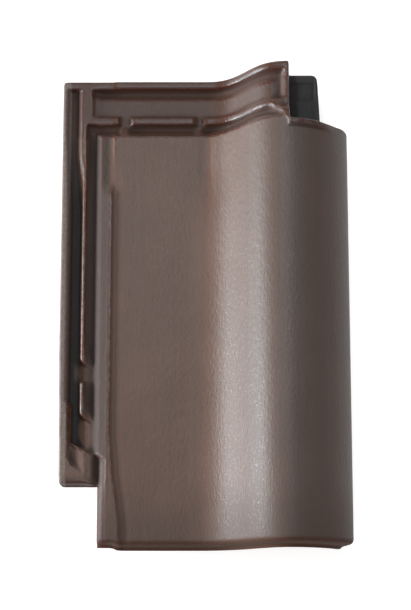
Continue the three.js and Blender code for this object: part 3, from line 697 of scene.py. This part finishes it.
brown = hue(0.099, 0.053, 0.036)
warm_brown = hue(0.111, 0.061, 0.043)
painted_flank_grey = hue(0.068, 0.058, 0.053)
streak_brown = hue(0.070, 0.042, 0.031)
hollow_shade_black = hue(0.010, 0.006, 0.005)
foot_shade_brown = hue(0.052, 0.027, 0.018)
head_brown = hue(0.048, 0.019, 0.010)
painted_rib_shadow = hue(0.020, 0.013, 0.011)
foot_facing_shade_red = hue(0.034, 0.011, 0.005)
nose_shade_red = hue(0.058, 0.020, 0.007)
thin_red = hue(0.058, 0.015, 0.007)
tab_shadow_black = hue(0.020, 0.019, 0.021)
fired_clay = hue(0.33, 0.135, 0.07)
pale_clay = hue(0.40, 0.18, 0.10)
rubbed_grey = hue(0.28, 0.24, 0.22)
satin = 0.52
peel_depth = 0.0004

engobe = bpy.data.materials.new("engobed_clay")
engobe.use_nodes = True
finish = Wire(engobe.node_tree)
place = finish.node("VectorMath", {"operation": "MULTIPLY"}, {
    0: finish.node("TexCoord", {}, {}, out="Object"), 1: (1000, 1000, 1000)})
drawn = finish.node("VectorMath", {"operation": "MULTIPLY"}, {0: place, 1: (1, 0.45, 1)})
streaked = finish.node("VectorMath", {"operation": "MULTIPLY"}, {0: place, 1: (1, 0.03, 1)})


def grain_of(size, detail, at=place):
    """Cloudy noise with lumps of about this size in millimetres."""
    return finish.node("TexNoise", {}, {"Vector": at, "Scale": 1 / size, "Detail": detail, "Roughness": 0.6})


from_left = finish.node("SeparateXYZ", {}, {"Vector": place}, out="X") + tile_width / 2
from_foot = finish.node("SeparateXYZ", {}, {"Vector": place}, out="Y") + tile_length / 2
facing = finish.node("SeparateXYZ", {}, {"Vector": finish.node("TexCoord", {}, {}, out="Normal")}, out="Y")
worn_edge = finish.node("Attribute", {"attribute_name": "wear"}, {}, out="Fac")
coating = finish.node("Attribute", {"attribute_name": "coat"}, {}, out="Fac")
hollow_shade_share = finish.node("Attribute", {"attribute_name": "hollow_shade"}, {}, out="Fac").between(0.3, 2.3)
clouds = grain_of(45, 3)
streaks = grain_of(5, 4, streaked)
peel = grain_of(2.6, 3, drawn)
specks = grain_of(0.8, 1)
glints = grain_of(1.6, 0).between(0.66, 0.76)

# The slip is a cloudy brown, streaked down the tile. It is painted grey on the roll, where shade leaves
# mostly its neutral sheen, and painted shade darkens the hollows toward black.
slip = clouds.between(0.35, 0.7).blend(brown, warm_brown)
# Painted shade and sheen: toward the crest the slip turns grey, as the shaded flank looks.
roll_side = from_left.between(roll_start + 12, roll_crest)
slip = (roll_side * 0.45).blend(slip, painted_flank_grey)
slip = (streaks.between(0.45, 0.75) * 0.3).blend(slip, streak_brown)
channel_side = 1 - from_left.between(29, 34)
# Painted shade: hollows, the pit of channel A and the foot of the step are darkened toward black.
slip = (hollow_shade_share * (0.65 + channel_side * 0.3)).blend(slip, hollow_shade_black)

# Painted shade darkens it toward the foot, it is darker and redder in the head lock, and channel B and the
# slope beside the inner rib are matt and carry the painted shadow of the rib.
# Painted shade: the light falls off toward the foot.
foot_shade = 1 - from_foot.between(0, 75)
slip = (foot_shade * 0.6).blend(slip, foot_shade_brown)
# Darker and redder over the head lock.
head_tint = from_foot.between(tile_length - head_length - 2, tile_length - head_length + 4)
slip = (head_tint * 0.75).blend(slip, head_brown)
# Painted shadow of the inner rib over channel B and the slope to the shelf; these parts are also matt.
beside_rib = from_left.between(24, 27) * from_foot.between(125, 137)
shelf_side = from_left.between(31, 36)
left_of_shelf = 1 - from_left.between(45, 50)
below_head = 1 - from_foot.between(415, 423)
rib_shadow_and_matt = (beside_rib + shelf_side - beside_rib * shelf_side) * left_of_shelf * below_head
slip = (rib_shadow_and_matt * 0.7).blend(slip, painted_rib_shadow)

# Walls that face the foot and the nose get painted dark red shade, sharp crests show the red of thin slip,
# and the tab gets the painted black shadow of the crest.
# Painted shade: walls that face the foot are darkened to dark red.
foot_facing_shade = (0 - facing).between(0.12, 0.5)
slip = (foot_facing_shade * 0.9).blend(slip, foot_facing_shade_red)
# Painted shade on the nose, dark red and matt.
nose_shade = 1 - from_foot.between(6, 11)
slip = (nose_shade * 0.9).blend(slip, nose_shade_red)
thin = worn_edge.between(0.05, 0.4) * grain_of(3, 2, drawn).between(0.3, 0.6)
slip = (thin * 0.8).blend(slip, thin_red)
# Painted shadow of the crest on the tab, near black and matt.
tab_shadow = from_left.between(roll_crest + 4, roll_crest + 7) \
    * from_foot.between(tile_length - shoulder, tile_length - shoulder + 3)
slip = (tab_shadow * 0.85).blend(slip, tab_shadow_black)

# Bare clay shows where the coating ends, and the outer rib is rubbed pale.
bare = grain_of(9, 4).between(0.3, 0.75).blend(fired_clay, pale_clay)
cover = (coating + (grain_of(7, 3) - 0.5) * 0.5).between(0.12, 0.5)
colour = cover.blend(bare, slip)
on_outer_rib = 1 - from_left.between(7, 9)
rub = on_outer_rib * coating * (specks.between(0.48, 0.66) * 0.65 + 0.35)
colour = (rub * 0.7).blend(colour, rubbed_grey)

surface = engobe.node_tree.nodes["Principled BSDF"]
colour.into(surface.inputs["Base Color"])
roughness = satin + (1 - cover) * 0.35 + rub * 0.2 + hollow_shade_share * 0.3 + rib_shadow_and_matt * 0.25 + foot_shade * 0.1 \
    + tab_shadow * 0.2 + nose_shade * 0.25 - glints * 0.14 - worn_edge.between(0.1, 0.5) * 0.16
roughness.into(surface.inputs["Roughness"])
relief = peel + specks * 0.15 + streaks * 0.08 + rub * 0.5
bump = finish.node("Bump", {}, {"Height": relief, "Distance": peel_depth, "Strength": 1.0}, out="Normal")
bump.into(surface.inputs["Normal"])
surface.inputs["Specular Tint"].default_value = hue(0.8, 0.94, 1)
mesh.materials.append(engobe)

# ======== Table, light and camera ========
# The tile lies face up on a white table, on its nibs and foot rib. A long softbox stands low on its left and
# draws the broad gleam along the roll; weaker ones fill from above, from the foot, the head and the right.
white = hue(1, 1, 1)
bpy.ops.mesh.primitive_plane_add(size=12, location=(0, 0, 0))
table = bpy.context.object
table.name = "table"
table_white = bpy.data.materials.new("table_white")
table_white.use_nodes = True
top = Wire(table_white.node_tree)
board = table_white.node_tree.nodes["Principled BSDF"]
board.inputs["Base Color"].default_value = hue(0.8, 0.8, 0.8)
board.inputs["Roughness"].default_value = 0.9
board.inputs["Specular IOR Level"].default_value = 0.1


def seen_by(wire, *rays):
    """1 for rays of these kinds, and 0 for the others."""
    shares = [wire.node("LightPath", {}, {}, out="Is " + ray + " Ray") for ray in rays]
    return sum(shares[1:], shares[0])


seen = seen_by(top, "Camera", "Glossy", "Transmission")
spot = top.node("TexCoord", {}, {}, out="Object")
away = top.node("VectorMath", {"operation": "LENGTH"}, {0: spot}, out="Value")
glow = (seen * (0.6 + away.between(0.35, 0.9) * 0.4)).blend(hue(0, 0, 0), white)
glow.into(board.inputs["Emission Color"])
board.inputs["Emission Strength"].default_value = 1.0
table.data.materials.append(table_white)

room = bpy.data.worlds.new("studio")
bpy.context.scene.world = room
room.use_nodes = True
seen = seen_by(Wire(room.node_tree), "Camera", "Transmission")
seen.blend(hue(0.06, 0.06, 0.06), white).into(room.node_tree.nodes["Background"].inputs["Color"])


def softbox(name, bearing, height, size, power, distance=1.9):
    """A rectangular light aimed at the tile; bearing and height are angles, and bearing 180 is its left."""
    light = bpy.data.lights.new(name, "AREA")
    light.shape, light.energy = "RECTANGLE", power
    light.size, light.size_y = size
    box = bpy.data.objects.new(name, light)
    turn, lift = math.radians(bearing), math.radians(height)
    way = Vector((math.cos(lift) * math.cos(turn), math.cos(lift) * math.sin(turn), math.sin(lift)))
    box.location = distance * way
    box.rotation_euler = (-box.location).to_track_quat("-Z", "Y").to_euler()
    bpy.context.collection.objects.link(box)


softbox("left_softbox", bearing=180, height=9, size=(1.3, 0.5), power=77)
softbox("top_softbox", bearing=90, height=70, size=(1.3, 0.7), power=16)
softbox("foot_softbox", bearing=270, height=50, size=(1.3, 0.7), power=12)
softbox("head_softbox", bearing=90, height=20, size=(1.3, 0.7), power=4.5)
softbox("right_softbox", bearing=0, height=40, size=(1.3, 0.7), power=2)

picture_height = 610
focal = 1304  # in pixels of the picture
camera_tilt = math.radians(8.98)
lens_data = bpy.data.cameras.new("camera")
lens_data.lens = lens_data.sensor_width * focal / picture_height
lens_data.shift_y = 0.2
camera = bpy.data.objects.new("camera", lens_data)
camera.location = (0.0013, -0.3154, 1.275)
camera.rotation_euler = (camera_tilt, 0, 0)
bpy.context.collection.objects.link(camera)
bpy.context.scene.camera = camera
bpy.context.scene.view_settings.view_transform = "Standard"
